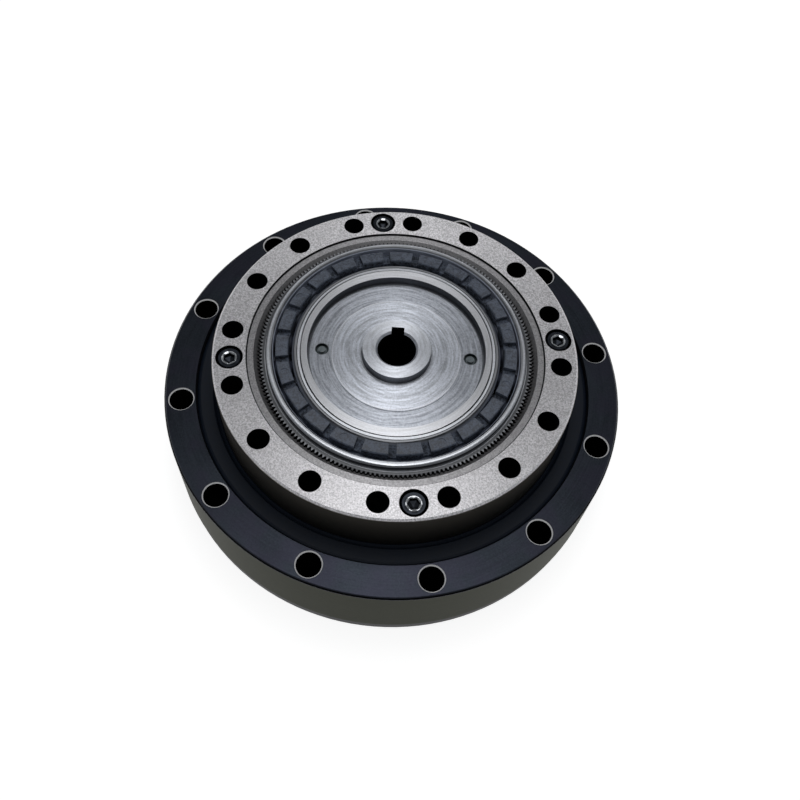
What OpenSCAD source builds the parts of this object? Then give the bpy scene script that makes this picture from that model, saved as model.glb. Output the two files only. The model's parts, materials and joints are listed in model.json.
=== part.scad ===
// Hat-type strain wave gear unit: a toothed flexible cup is bent into an oval by the wave generator
// and meshes, at the two ends of the oval, with a rigid ring that has two teeth more.
// The black outer ring and the cup stand still, the keyed plug is the input, the grey ring the output.
// Origin: centre of the rear mounting face. +Z points along the axis, out of the output face.

/* [Housing] */
// Outside diameter of the bearing's outer ring
housing_od = 110; // [104:0.5:120]
// Radial width of the flange face, from its edge to the seal
flange_w = 7.6; // [7.2:0.1:10]
// Height of the outer ring's front face above the rear face
flange_z = 22; // [21.5:0.25:24]
// Distance of the housing bolts' circle from the ring's outside
housing_bolt_inset = 4; // [3.6:0.1:4.4]
// Number of housing bolts
housing_bolts = 12; // [8:4:16]
// Diameter of a housing bolt hole
housing_hole_d = 5.5; // [4.5:0.1:5.6]
// Direction of the first housing bolt
housing_turn = 15; // [15:0.5:20]
// Bevel at the outer ring's corners
housing_edge = 0.5; // [0.2:0.1:0.8]

/* [Output ring] */
// Height of the circular spline
spline_h = 14; // [13:0.25:16]
// Distance of the output bolts' circle from the circular spline's outside
output_bolt_inset = 4; // [3.8:0.1:4.3]
// Number of output bolts
output_bolts = 16; // [8:4:16]
// Diameter of an output bolt hole
output_hole_d = 5; // [4.2:0.1:5.2]
// Where the circular spline sits on the bearing's inner ring
spline_seat_z = 20; // [18:0.25:22]
// Depth of the step around the teeth
spline_step = 0.55; // [0.3:0.05:1]
// Radial width of the output face between its rim and that step
output_face_w = 7.7; // [7.2:0.1:8.5]
// Radial width between the output face and the pitch circle of the teeth
mesh_w = 3.05; // [2.8:0.05:3.4]
// Number of screws that hold the circular spline to the inner ring
spline_screw_count = 4; // [2:2:4]

/* [Gearing] */
// Teeth on the flexible spline
flex_teeth = 200; // [160:4:200]
// Direction of the long axis of the oval, and of the keyway
oval_turn = 93; // [0:1:180]
// Depth of the flexible spline's open rim below the output face
rim_sink = 0.7; // [0.6:0.05:1]
// Length of the toothed rim
rim_len = 11.8; // [10:0.2:12]
// Wall of the rim under the teeth
rim_wall = 0.8; // [0.75:0.05:0.9]
// Wall of the thin sleeve
sleeve_wall = 0.4; // [0.3:0.05:0.45]
// Thickness of the flexible spline's mounting flange
flex_flange_t = 3.3; // [3:0.1:3.6]
// Thickness of the diaphragm between sleeve and flange
diaphragm_t = 0.6; // [0.4:0.05:0.8]

/* [Wave bearing] */
// Ball diameter
ball_d = 5.9; // [5.4:0.05:6.4]
// Web of the cage between two balls, which sets how many balls there are
cage_web = 1.3; // [1.1:0.05:2]
// Direction of the first ball
ball_turn = 7.7; // [0:0.1:15]
// Depth of the ball centres below the output face
ball_sink = 3.8; // [3.4:0.1:4.4]
// Half the width of the outer race
race_half_w = 4.8; // [4.3:0.1:5.2]
// Thinnest wall of a race under its balls
race_wall = 0.7; // [0.6:0.05:0.8]
// Height of the cage's front above the ball centres
cage_front = 5; // [4.6:0.1:5.4]
// Width of the slots in the cage's front
cage_slot_w = 1.75; // [1:0.05:2.2]

/* [Wave generator plug] */
// Diameter of the keyed bore
bore_d = 9; // [8:0.25:10]
// Diameter of the hub
hub_d = 16; // [15:0.25:18]
// Length of the hub
hub_len = 14.95; // [12:0.05:17]
// How far the plug's front stands above the inner race
plug_proud = 0.05; // [0:0.05:0.3]
// Depth of the recess between hub and lip
plug_recess = 2.45; // [1.5:0.05:2.8]
// Width of the lip around the recess
plug_lip_w = 1.75; // [1.2:0.05:2.2]
// Width of the keyway
key_w = 3; // [2:0.25:3]
// Distance from the axis to the keyway's floor
key_reach = 5.95; // [5.6:0.05:6.2]

/* [Crossed roller bearing] */
// Roller diameter
roller_d = 4; // [3.4:0.1:4]
// Height of the rollers' centres above the rear face
roller_z = 11.5; // [10.5:0.25:12.5]
// Gap between the two rings
ring_gap = 0.8; // [0.5:0.1:1]

/* [Seal and small screws] */
// Radial width of the seal
seal_w = 4.9; // [4.5:0.1:5.4]
// Depth of the seal's front below the flange face
seal_sink = 1; // [0.8:0.1:1.4]
// Thread diameter of the small screws
screw_d = 3; // [2.5:0.1:3]
// Number of countersunk screws in the rear face
rear_screw_count = 4; // [2:2:4]

/* [Hidden] */

// Clearances
fit_gap = 0.02;       // seated by hand, with no play to see
run_gap = 0.03;       // balls and rollers in their tracks
lip_gap = 0.04;       // seal lip on the turning ring
pocket_gap = 0.08;    // cage round a ball
cut = 1;              // how far a cutter runs past what it cuts
turned = 180;         // facets drawn round a turned surface
drilled = 32;         // facets drawn round a small hole

// Main diameters, one inside the other
housing_pcd = housing_od - 2 * housing_bolt_inset;
pocket_r = housing_od / 2 - flange_w;
output_od = 2 * (pocket_r - seal_w);
output_pcd = output_od - 2 * output_bolt_inset;
pitch_d = output_od - 2 * (output_face_w + mesh_w);

// Main heights above the rear face
output_z = spline_seat_z + spline_h;
rim_z = output_z - rim_sink;
ball_z = output_z - ball_sink;

// Gear geometry: the wave height is one module, so that the two splines differ by two teeth
ring_teeth = flex_teeth + 2;
tooth_module = pitch_d / flex_teeth;
wave = tooth_module;
flex_root_r = pitch_d / 2 - 1.04 * tooth_module;
flex_tip_r = pitch_d / 2 + 0.79 * tooth_module;
tooth_gap = 0.26 * tooth_module;
ring_tip_r = flex_root_r + wave + tooth_gap;
ring_root_r = flex_tip_r + wave + tooth_gap;
flex_half_root = 0.92 * tooth_module;
flex_half_tip = 0.33 * tooth_module;
gap_half_mouth = 1.1 * tooth_module;
gap_half_floor = 0.56 * tooth_module;

// Flexible spline
flex_bore_r = flex_root_r - rim_wall;
neutral_r = flex_bore_r + rim_wall / 2;
sleeve_r = flex_root_r - 0.17;
sleeve_bore_r = sleeve_r - sleeve_wall;
boss_bore_r = sleeve_bore_r - 0.25;
rim_back_z = rim_z - rim_len;
diaphragm_z = 0.55;
corner_r = 1.7;
inner_corner_r = 1.2;
boss_lap = 0.15;
sleeve_foot_z = flex_flange_t + 0.5;
sleeve_lap = 0.3;
flex_flange_r = housing_od / 2 - 0.25;
diaphragm_w = 6.2;
flange_inner_r = sleeve_r + diaphragm_w;
flange_ramp = 1.4;

// Wave bearing
outer_race_r = flex_bore_r - fit_gap;
ball_r = ball_d / 2;
ball_circle_r = outer_race_r - wave - race_wall - run_gap - ball_r;
outer_land_r = ball_circle_r + 0.78 * ball_r;
inner_land_r = ball_circle_r - 0.68 * ball_r;
inner_race_r = ball_circle_r - ball_r - run_gap - race_wall - wave;
ball_count = floor(2 * PI * ball_circle_r / (ball_d + cage_web));
race_top_z = ball_z + race_half_w;
race_back_z = ball_z - race_half_w;
inner_race_drop = 1.1;
inner_race_top_z = race_top_z - inner_race_drop;
inner_race_back_z = race_back_z + 1;
race_bevel = 0.45;
bevel_reach = race_top_z - race_back_z + cut; // taller than a race
cage_inner_r = ball_circle_r - 1.5;
cage_outer_r = ball_circle_r + 1.4;
cage_back_z = ball_z - 0.9 * ball_r;
cage_top_z = ball_z + cage_front;
cage_slot_depth = 1.3;
cage_snap = 0.91;
cage_mark_d = 2;
cage_mark_depth = 0.15;
cage_mark_every = 3;

// Wave generator plug
plug_r = inner_race_r - fit_gap;
plug_shoulder = 0.8;
plug_back_z = race_back_z;
plug_top_z = inner_race_top_z + plug_proud;
plug_web = 3.6;
plug_floor_z = plug_top_z - plug_recess;
plug_recess_r = plug_r - plug_lip_w;
plug_ledge_w = 5.43;
plug_ledge_r = plug_recess_r - plug_ledge_w;
plug_ledge_h = 0.2;
hub_back_z = plug_top_z - hub_len;
bore_bevel = 0.5;
dimple_d = 3;
dimple_inset = 2.1;
dimple_r = plug_ledge_r + dimple_inset;
dimple_depth = 0.6;
dimple_pip_d = 1.7;

// Crossed roller bearing: its pitch circle lies just outside the circular spline
roller_r = roller_d / 2;
roller_len = roller_d - 0.12;
roller_offset = 1;
roller_circle_r = output_od / 2 + roller_offset;
track_half = (roller_r + run_gap) / cos(45);
outer_bore_r = roller_circle_r + ring_gap / 2;
inner_ring_od_r = roller_circle_r - ring_gap / 2;
track_half_h = track_half - ring_gap / 2;
spacer_t = 0.4;
spacer_r = 0.8 * roller_r;
roller_play = 0.3;
roller_count = 2 * floor(PI * roller_circle_r / (roller_d + spacer_t + roller_play));
inner_ring_gap = 0.6;
inner_ring_lift = 0.9;
inner_ring_lip = 1.2;
inner_ring_bore_r = ring_root_r + inner_ring_gap;
inner_ring_back_z = flex_flange_t + inner_ring_lift;
inner_ring_step_z = roller_z + track_half_h + inner_ring_lip;

// Seal, in its pocket round the circular spline
lip_r = output_od / 2 + lip_gap;
seal_depth = 5.6;
pocket_wall = 1.6;
pocket_z = max(roller_z + track_half_h + pocket_wall, flange_z - seal_depth);
seal_front_z = flange_z - seal_sink;
case_t = 0.6;
case_top_z = seal_front_z - 0.8;
case_back_z = pocket_z + 0.3;
case_web_gap = 2;
case_web_r = lip_r + case_web_gap;
spring_r = 0.42;
spring_circle_r = lip_r + 1.2;
spring_z = pocket_z + 1.2;

// Static seal rings lie in grooves that they just fill
cord_r = 0.5;
groove_half = 0.6;
groove_depth = 2 * cord_r + 0.05;
flange_cord_gap = 2.6;
spline_cord_gap = 1.5;
flange_cord_r = roller_circle_r + flange_cord_gap;
spline_cord_r = inner_ring_bore_r + spline_cord_gap;

// Screws
screw_r = screw_d / 2;
screw_head_r = 0.92 * screw_d;
screw_sink = 0.3;
counterbore_r = 1.05 * screw_d;
clearance_r = screw_r + 0.1;
socket_af = 0.83 * screw_d;
spline_screw_end_z = inner_ring_back_z + 1.5;
spline_screw_turn = 180 / output_bolts;
tapped_r = 0.42 * output_hole_d;
tapped_depth = 6;
rear_screw_grip = 6;
rear_screw_end_z = flex_flange_t + rear_screw_grip;
rear_head_r = screw_d;
rear_screw_turn = housing_turn - 180 / housing_bolts;
hole_bevel = 0.35;

// A point at radius r and direction a
function polar(r, a) = [r * cos(a), r * sin(a)];

// The same point once the wave generator has bent its ring: out at the long axis, in at the short
// one, and sideways between them, because the ring's middle line doesn't stretch
function bent(r, a) =
    let (twice = 2 * (a - oval_turn),
         slide = wave / (2 * neutral_r) * sin(twice) * 180 / PI)
    polar(r + wave * cos(twice), a - slide);

// Oval outline of mean radius r
function oval(r) =
    [for (i = [0 : turned - 1])
        let (a = i * 360 / turned)
        polar(r + wave * cos(2 * (a - oval_turn)), a)];

// Points on an arc round (cx, cy)
function arc(cx, cy, r, from, to, steps = 6) =
    [for (i = [0 : steps]) [cx, cy] + polar(r, from + (to - from) * i / steps)];

// Angle under which half a width w is seen from the axis
function half_angle(w, r) = asin(w / r);

// Outline of the flexible spline's bent teeth
function flex_tooth_outline() =
    [for (i = [0 : flex_teeth - 1])
        let (a = oval_turn + i * 360 / flex_teeth,
             foot = half_angle(flex_half_root, flex_root_r),
             tip = half_angle(flex_half_tip, flex_tip_r))
        each [bent(flex_root_r, a - foot), bent(flex_tip_r, a - tip),
              bent(flex_tip_r, a + tip), bent(flex_root_r, a + foot)]];

// Outline of the toothed hole in the circular spline, with a tooth space on the long axis
function ring_tooth_outline() =
    [for (i = [0 : ring_teeth - 1])
        let (a = oval_turn + i * 360 / ring_teeth,
             mouth = half_angle(gap_half_mouth, ring_tip_r),
             bottom = half_angle(gap_half_floor, ring_root_r))
        each [polar(ring_tip_r, a - mouth), polar(ring_root_r, a - bottom),
              polar(ring_root_r, a + bottom), polar(ring_tip_r, a + mouth)]];

// A turned ring from its profile in radius and height
module turned_ring(profile) {
    rotate_extrude($fn = turned)
        polygon(profile);
}

// Copies what follows round the axis, on a circle of radius r
module around(count, r, first = 0) {
    for (i = [0 : count - 1])
        rotate([0, 0, first + i * 360 / count])
            translate([r, 0, 0])
                children();
}

// A round hole from z0 to z1
module hole(r, z0, z1) {
    translate([0, 0, z0])
        cylinder(r = r, h = z1 - z0, $fn = drilled);
}

// The bevel at a hole's mouth, in a face at height z that looks up (dir 1) or down (dir -1)
module hole_bevel_cut(r, z, size, dir = 1) {
    translate([0, 0, z])
        mirror([0, 0, dir > 0 ? 1 : 0])
            translate([0, 0, -cut])
                cylinder(r1 = r + size + cut, r2 = r - cut, h = size + 2 * cut, $fn = drilled);
}

// The track that the rollers run in: a square groove on its corner, turned round the axis
module roller_track() {
    turned_ring([[roller_circle_r - track_half, roller_z],
                 [roller_circle_r, roller_z - track_half],
                 [roller_circle_r + track_half, roller_z],
                 [roller_circle_r, roller_z + track_half]]);
}

// The round track that the balls run in
module ball_track() {
    translate([0, 0, ball_z])
        rotate_extrude($fn = turned)
            translate([ball_circle_r, 0])
                circle(r = ball_r + run_gap, $fn = 2 * drilled);
}

// Groove in a face that looks up, for a static seal ring
module cord_groove(circle_r, top_z) {
    turned_ring([[circle_r - groove_half, top_z - groove_depth],
                 [circle_r + groove_half, top_z - groove_depth],
                 [circle_r + groove_half, top_z + cut],
                 [circle_r - groove_half, top_z + cut]]);
}

module cord_ring(circle_r, z, r) {
    translate([0, 0, z])
        rotate_extrude($fn = turned)
            translate([circle_r, 0])
                circle(r = r, $fn = drilled);
}

// A socket head cap screw: its head's top at z = 0, its shank down to shank_end
module cap_screw(head_r, head_h, shank_r, shank_end) {
    difference() {
        union() {
            rotate_extrude($fn = drilled)
                polygon([[0, -head_h], [head_r, -head_h], [head_r, -0.25], [head_r - 0.25, 0], [0, 0]]);
            translate([0, 0, shank_end])
                cylinder(r = shank_r, h = -head_h - shank_end + 0.1, $fn = drilled);
        }
        hex_socket(0.5 * head_h);
    }
}

// A countersunk screw: its head's face at z = 0, looking up
module countersunk_screw(head_r, shank_r, shank_end) {
    difference() {
        union() {
            translate([0, 0, shank_r - head_r])
                cylinder(r1 = shank_r, r2 = head_r, h = head_r - shank_r, $fn = drilled);
            translate([0, 0, shank_end])
                cylinder(r = shank_r, h = shank_r - head_r - shank_end + 0.1, $fn = drilled);
        }
        hex_socket(0.5 * (head_r - shank_r) + 0.3, 0.8);
    }
}

module hex_socket(depth, size = 1) {
    translate([0, 0, -depth])
        cylinder(d = size * socket_af / cos(30), h = depth + cut, $fn = 6);
}

module outer_ring() {
    profile = [[outer_bore_r, flex_flange_t],
               [housing_od / 2, flex_flange_t],
               [housing_od / 2, flange_z - housing_edge],
               [housing_od / 2 - housing_edge, flange_z],
               [pocket_r + 0.3, flange_z],
               [pocket_r, flange_z - 0.3],
               [pocket_r, pocket_z],
               [outer_bore_r, pocket_z]];
    color([0.17, 0.19, 0.22]) difference() {
        turned_ring(profile);
        roller_track();
        translate([0, 0, flex_flange_t])
            mirror([0, 0, 1])
                cord_groove(flange_cord_r, 0);
        around(housing_bolts, housing_pcd / 2, housing_turn) {
            hole(housing_hole_d / 2, flex_flange_t - cut, flange_z + cut);
            hole_bevel_cut(housing_hole_d / 2, flange_z, hole_bevel);
        }
        around(rear_screw_count, housing_pcd / 2, rear_screw_turn)
            hole(screw_r + fit_gap, flex_flange_t - cut, rear_screw_end_z + cut);
    }
}

// Flange, diaphragm and the foot of the sleeve
module flexspline_boss() {
    corner = sleeve_r + boss_lap + inner_corner_r;
    profile = concat(
        [[boss_bore_r, sleeve_foot_z]],
        arc(boss_bore_r + corner_r, diaphragm_z + corner_r, corner_r, 180, 270),
        [[flange_inner_r - 0.8, diaphragm_z],
         [flange_inner_r, 0],
         [flex_flange_r - 0.3, 0],
         [flex_flange_r, 0.3],
         [flex_flange_r, flex_flange_t],
         [flange_inner_r + flange_ramp, flex_flange_t]],
        arc(flange_inner_r + flange_ramp, flex_flange_t - 0.6, 0.6, 90, 150, 3),
        arc(corner, diaphragm_z + diaphragm_t + inner_corner_r, inner_corner_r, 270, 180),
        [[sleeve_r + boss_lap, sleeve_foot_z]]);
    difference() {
        turned_ring(profile);
        around(housing_bolts, housing_pcd / 2, housing_turn)
            hole(housing_hole_d / 2, -cut, flex_flange_t + cut);
        around(rear_screw_count, housing_pcd / 2, rear_screw_turn) {
            hole(screw_r + fit_gap, -cut, flex_flange_t + cut);
            hole_bevel_cut(screw_r + fit_gap, 0, rear_head_r - screw_r + screw_sink, -1);
        }
    }
}

// The rim: bent teeth outside and an oval bore
module flexspline_rim() {
    translate([0, 0, rim_back_z])
        linear_extrude(height = rim_len)
            difference() {
                polygon(flex_tooth_outline());
                polygon(oval(flex_bore_r));
            }
}

// An outline that is nearly round at the foot and fades into the rim's oval: the overlap of two
// cones that lean apart along the oval's short axis
module fading_oval(r) {
    lean = atan(2 * wave / rim_back_z);
    rotate([0, 0, oval_turn])
        intersection_for(side = [-1, 1])
            rotate([side * lean, 0, 0])
                cylinder(r1 = r, r2 = r + 2 * wave, h = 2 * rim_back_z, $fn = turned);
}

// The thin sleeve between boss and rim
module flexspline_sleeve() {
    intersection() {
        difference() {
            fading_oval(sleeve_r);
            fading_oval(sleeve_bore_r);
        }
        translate([0, 0, sleeve_foot_z - sleeve_lap])
            cylinder(r = housing_od / 2, h = rim_back_z - sleeve_foot_z + 2 * sleeve_lap, $fn = turned);
    }
}

// One piece of spring steel: the oval rim fades into a round sleeve, which flares into the flange
module flexspline() {
    color([0.5, 0.51, 0.53]) {
        flexspline_boss();
        flexspline_sleeve();
        flexspline_rim();
    }
}

module circular_spline() {
    tooth_back_z = rim_back_z + 0.5;
    blank_r = ring_tip_r - 0.5;
    floor_z = output_z - spline_step;
    floor_in_r = ring_root_r + 0.7;
    profile = [[inner_ring_bore_r, spline_seat_z],
               [output_od / 2, spline_seat_z],
               [output_od / 2, output_z - 0.5],
               [output_od / 2 - 0.5, output_z],
               [output_od / 2 - output_face_w, output_z],
               [output_od / 2 - output_face_w, floor_z],
               [floor_in_r, floor_z],
               [blank_r, floor_z - floor_in_r + blank_r],
               [blank_r, tooth_back_z],
               [inner_ring_bore_r, tooth_back_z]];
    color([0.68, 0.68, 0.7]) difference() {
        turned_ring(profile);
        translate([0, 0, tooth_back_z - cut])
            linear_extrude(height = output_z - tooth_back_z + 2 * cut)
                polygon(ring_tooth_outline());
        around(output_bolts, output_pcd / 2)
            hole(output_hole_d / 2, spline_seat_z - cut, output_z + cut);
        around(spline_screw_count, output_pcd / 2, spline_screw_turn) {
            hole(clearance_r, spline_seat_z - cut, output_z + cut);
            hole(counterbore_r, output_z - screw_sink - screw_d, output_z + cut);
        }
    }
}

module inner_ring_front() {
    profile = [[inner_ring_bore_r, roller_z],
               [inner_ring_od_r, roller_z],
               [inner_ring_od_r, inner_ring_step_z],
               [output_od / 2, inner_ring_step_z + inner_ring_od_r - output_od / 2],
               [output_od / 2, spline_seat_z],
               [inner_ring_bore_r, spline_seat_z]];
    color([0.6, 0.61, 0.63]) difference() {
        turned_ring(profile);
        roller_track();
        cord_groove(spline_cord_r, spline_seat_z);
        around(output_bolts, output_pcd / 2)
            hole(tapped_r, spline_seat_z - tapped_depth, spline_seat_z + cut);
        around(spline_screw_count, output_pcd / 2, spline_screw_turn)
            hole(clearance_r, roller_z - cut, spline_seat_z + cut);
    }
}

module inner_ring_rear() {
    profile = [[inner_ring_bore_r, inner_ring_back_z + 0.4],
               [inner_ring_bore_r + 0.4, inner_ring_back_z],
               [inner_ring_od_r - 0.4, inner_ring_back_z],
               [inner_ring_od_r, inner_ring_back_z + 0.4],
               [inner_ring_od_r, roller_z],
               [inner_ring_bore_r, roller_z]];
    color([0.56, 0.57, 0.59]) difference() {
        turned_ring(profile);
        roller_track();
        around(spline_screw_count, output_pcd / 2, spline_screw_turn)
            hole(screw_r + fit_gap, spline_screw_end_z - 0.5, roller_z + cut);
    }
}

module spline_screws() {
    top_z = output_z - screw_sink;
    color([0.3, 0.31, 0.33])
        around(spline_screw_count, output_pcd / 2, spline_screw_turn)
            translate([0, 0, top_z])
                cap_screw(screw_head_r, screw_d, screw_r, spline_screw_end_z - top_z);
}

module flexspline_screws() {
    color([0.3, 0.31, 0.33])
        around(rear_screw_count, housing_pcd / 2, rear_screw_turn)
            translate([0, 0, screw_sink])
                mirror([0, 0, 1])
                    countersunk_screw(rear_head_r, screw_r, screw_sink - rear_screw_end_z);
}

module flange_o_ring() {
    color([0.1, 0.1, 0.11])
        cord_ring(flange_cord_r, flex_flange_t + cord_r, cord_r);
}

module spline_o_ring() {
    color([0.1, 0.1, 0.11])
        cord_ring(spline_cord_r, spline_seat_z - cord_r, cord_r);
}

// Pressed steel angle that the rubber is moulded to
module seal_case() {
    color([0.45, 0.46, 0.48])
        turned_ring([[pocket_r - case_t, case_back_z],
                     [pocket_r, case_back_z],
                     [pocket_r, case_top_z],
                     [case_web_r, case_top_z],
                     [case_web_r, case_top_z - case_t],
                     [pocket_r - case_t, case_top_z - case_t]]);
}

// Rubber face, dust lip, and the main lip with the spring's groove behind it
module seal_lip() {
    waist_z = (spring_z + case_top_z) / 2;
    profile = [[pocket_r, case_top_z],
               [pocket_r, seal_front_z - 0.45],
               [pocket_r - 0.35, seal_front_z - 0.15],
               [pocket_r - 0.8, seal_front_z],
               [lip_r + 1.2, seal_front_z],
               [lip_r + 0.75, seal_front_z - 0.5],
               [lip_r + 0.2, seal_front_z - 0.05],
               [lip_r, seal_front_z - 0.15],
               [lip_r + 0.2, seal_front_z - 0.75],
               [lip_r + 0.6, waist_z],
               [lip_r, spring_z + 0.15],
               [lip_r + 0.55, spring_z - 0.75],
               [spring_circle_r, spring_z - 0.75],
               [spring_circle_r, spring_z + 0.75],
               [lip_r + 1.35, waist_z],
               [lip_r + 1.55, case_top_z - case_t],
               [case_web_r, case_top_z - case_t],
               [case_web_r, case_top_z]];
    color([0.07, 0.07, 0.08]) difference() {
        turned_ring(profile);
        cord_ring(spring_circle_r, spring_z, spring_r + run_gap);
    }
}

module seal_spring() {
    color([0.6, 0.6, 0.62])
        cord_ring(spring_circle_r, spring_z, spring_r);
}

// Every other roller is tilted the other way, so that one set carries load in every direction
module rollers(tilt, first) {
    color([0.75, 0.76, 0.78])
        around(roller_count / 2, roller_circle_r, first)
            translate([0, 0, roller_z])
                rotate([0, tilt, 0])
                    cylinder(r = roller_r, h = roller_len, center = true, $fn = drilled);
}

module rollers_rising() {
    rollers(45, 0);
}

module rollers_falling() {
    rollers(-45, 360 / roller_count);
}

module roller_spacers() {
    color([0.8, 0.78, 0.7])
        around(roller_count, roller_circle_r, 180 / roller_count)
            translate([0, 0, roller_z])
                rotate([90, 0, 0])
                    cylinder(r = spacer_r, h = spacer_t, center = true, $fn = drilled);
}

// A cone under an oval edge. An oval is nearly the overlap of two circles that lie apart along its
// short axis, and a bevel cut that way keeps an even width all round.
module oval_cone(r, z) {
    rotate([0, 0, oval_turn])
        intersection_for(side = [-1, 1])
            translate([0, 2 * side * wave, z - bevel_reach])
                cylinder(r1 = r + wave + bevel_reach, r2 = r + wave - bevel_reach,
                         h = 2 * bevel_reach, $fn = turned);
}

// The same for an oval hole, which is nearly two circles together that lie apart along its long axis
module oval_mouth(r, z) {
    rotate([0, 0, oval_turn])
        for (side = [-1, 1])
            translate([2 * side * wave, 0, z - cut])
                cylinder(r1 = r - wave - cut, r2 = r - wave + bevel_reach,
                         h = bevel_reach + cut, $fn = turned);
}

// An oval ring with bevels at its front
module oval_race(outer_r, inner_r, back_z, top_z, outer_bevel, inner_bevel) {
    difference() {
        intersection() {
            translate([0, 0, back_z])
                linear_extrude(height = top_z - back_z)
                    difference() {
                        polygon(oval(outer_r));
                        polygon(oval(inner_r));
                    }
            oval_cone(outer_r - outer_bevel, top_z);
        }
        oval_mouth(inner_r, top_z - inner_bevel);
        ball_track();
    }
}

module flex_outer_race() {
    color([0.72, 0.73, 0.75])
        oval_race(outer_race_r, outer_land_r, race_back_z, race_top_z, race_bevel, race_bevel - 0.1);
}

module flex_inner_race() {
    color([0.74, 0.75, 0.77])
        oval_race(inner_land_r, inner_race_r, inner_race_back_z, inner_race_top_z,
                  race_bevel + 0.1, 0.15);
}

module flex_balls() {
    color([0.85, 0.86, 0.88])
        around(ball_count, ball_circle_r, ball_turn)
            translate([0, 0, ball_z])
                sphere(r = ball_r, $fn = drilled);
}

// Crown cage: the balls snap in from the rear, and a slot over each ball lets the front bend
module flex_cage() {
    color([0.24, 0.25, 0.3]) difference() {
        turned_ring([[cage_inner_r, cage_back_z],
                     [cage_outer_r, cage_back_z],
                     [cage_outer_r, cage_top_z - 0.2],
                     [cage_outer_r - 0.2, cage_top_z],
                     [cage_inner_r + 0.2, cage_top_z],
                     [cage_inner_r, cage_top_z - 0.2]]);
        around(ball_count, ball_circle_r, ball_turn) {
            translate([0, 0, ball_z])
                sphere(r = ball_r + pocket_gap, $fn = drilled);
            hole(cage_snap * ball_r, cage_back_z - cut, ball_z);
            translate([-ball_r, -cage_slot_w / 2, cage_top_z - cage_slot_depth])
                cube([ball_d, cage_slot_w, cage_slot_depth + cut]);
        }
        for (i = [0 : cage_mark_every : ball_count - 1])
            rotate([0, 0, ball_turn + (i + 0.5) * 360 / ball_count])
                translate([ball_circle_r, 0, 0])
                    hole(cage_mark_d / 2, cage_top_z - cage_mark_depth, cage_top_z + cut);
    }
}

module wave_plug() {
    rear_floor_z = plug_floor_z - plug_web;
    color([0.7, 0.71, 0.74]) difference() {
        union() {
            translate([0, 0, plug_back_z])
                linear_extrude(height = plug_shoulder)
                    polygon(oval(plug_r + plug_shoulder));
            translate([0, 0, plug_back_z])
                linear_extrude(height = plug_top_z - plug_back_z)
                    polygon(oval(plug_r));
            turned_ring([[0, hub_back_z], [hub_d / 2 - 0.4, hub_back_z], [hub_d / 2, hub_back_z + 0.4],
                         [hub_d / 2, rear_floor_z + 1], [0, rear_floor_z + 1]]);
        }
        turned_ring([[hub_d / 2, plug_floor_z + plug_ledge_h], [plug_ledge_r, plug_floor_z + plug_ledge_h],
                     [plug_ledge_r, plug_floor_z], [plug_recess_r, plug_floor_z],
                     [plug_recess_r, plug_top_z + cut], [hub_d / 2, plug_top_z + cut]]);
        turned_ring([[hub_d / 2, plug_back_z - cut], [plug_recess_r, plug_back_z - cut],
                     [plug_recess_r, rear_floor_z], [hub_d / 2, rear_floor_z]]);
        keyed_bore();
        around(2, dimple_r, oval_turn - 90)
            difference() {
                hole(dimple_d / 2, plug_floor_z - dimple_depth, plug_top_z);
                hole(dimple_pip_d / 2, plug_floor_z - dimple_depth - cut, plug_floor_z - 0.1);
            }
    }
}

// The input shaft's bore, with its keyway towards the oval's long axis
module keyed_bore() {
    hole(bore_d / 2, hub_back_z - cut, plug_top_z + cut);
    hole_bevel_cut(bore_d / 2, plug_top_z, bore_bevel);
    hole_bevel_cut(bore_d / 2, hub_back_z, bore_bevel, -1);
    rotate([0, 0, oval_turn])
        translate([0, -key_w / 2, hub_back_z - cut])
            cube([key_reach, key_w, plug_top_z - hub_back_z + 2 * cut]);
}

outer_ring();
flexspline();
seal_case();
seal_lip();
seal_spring();
flange_o_ring();
flexspline_screws();
circular_spline();
inner_ring_front();
inner_ring_rear();
spline_screws();
spline_o_ring();
rollers_rising();
rollers_falling();
roller_spacers();
flex_outer_race();
flex_cage();
flex_balls();
flex_inner_race();
wave_plug();
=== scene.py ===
"""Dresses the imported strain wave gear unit: finishes, finer screws, and a studio."""

import json
import math

import bmesh
import bpy
from bpy.props import FloatProperty, FloatVectorProperty, PointerProperty
from mathutils import Matrix, Vector


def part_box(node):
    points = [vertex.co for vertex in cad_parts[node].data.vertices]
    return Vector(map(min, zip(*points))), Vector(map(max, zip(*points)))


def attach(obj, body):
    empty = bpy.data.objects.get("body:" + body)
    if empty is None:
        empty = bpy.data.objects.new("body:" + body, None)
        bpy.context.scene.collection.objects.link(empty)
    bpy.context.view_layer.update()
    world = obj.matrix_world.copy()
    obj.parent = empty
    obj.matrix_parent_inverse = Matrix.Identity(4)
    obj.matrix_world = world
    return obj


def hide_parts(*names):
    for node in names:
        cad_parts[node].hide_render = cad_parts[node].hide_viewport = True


bl_info = {
    "name": "Strain Wave Gear Dresser",
    "version": (1, 0, 0),
    "blender": (4, 5, 0),
    "location": "View3D > Sidebar > Gear Unit",
    "description": "Gives a strain wave gear unit its finishes, fine pieces and studio",
    "category": "Object",
}

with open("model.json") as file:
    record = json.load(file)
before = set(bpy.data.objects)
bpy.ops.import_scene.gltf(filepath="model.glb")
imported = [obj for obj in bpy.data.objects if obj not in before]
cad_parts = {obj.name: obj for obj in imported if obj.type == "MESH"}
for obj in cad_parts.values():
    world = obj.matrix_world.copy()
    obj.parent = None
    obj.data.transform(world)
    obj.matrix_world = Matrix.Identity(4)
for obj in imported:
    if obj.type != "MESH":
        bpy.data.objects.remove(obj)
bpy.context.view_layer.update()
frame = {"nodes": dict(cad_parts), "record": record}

MM = 0.001


def node_box_mm(node):
    """Lowest and highest corner of a CAD node, in millimetres."""
    low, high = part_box(node)
    return [c / MM for c in low], [c / MM for c in high]


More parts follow.
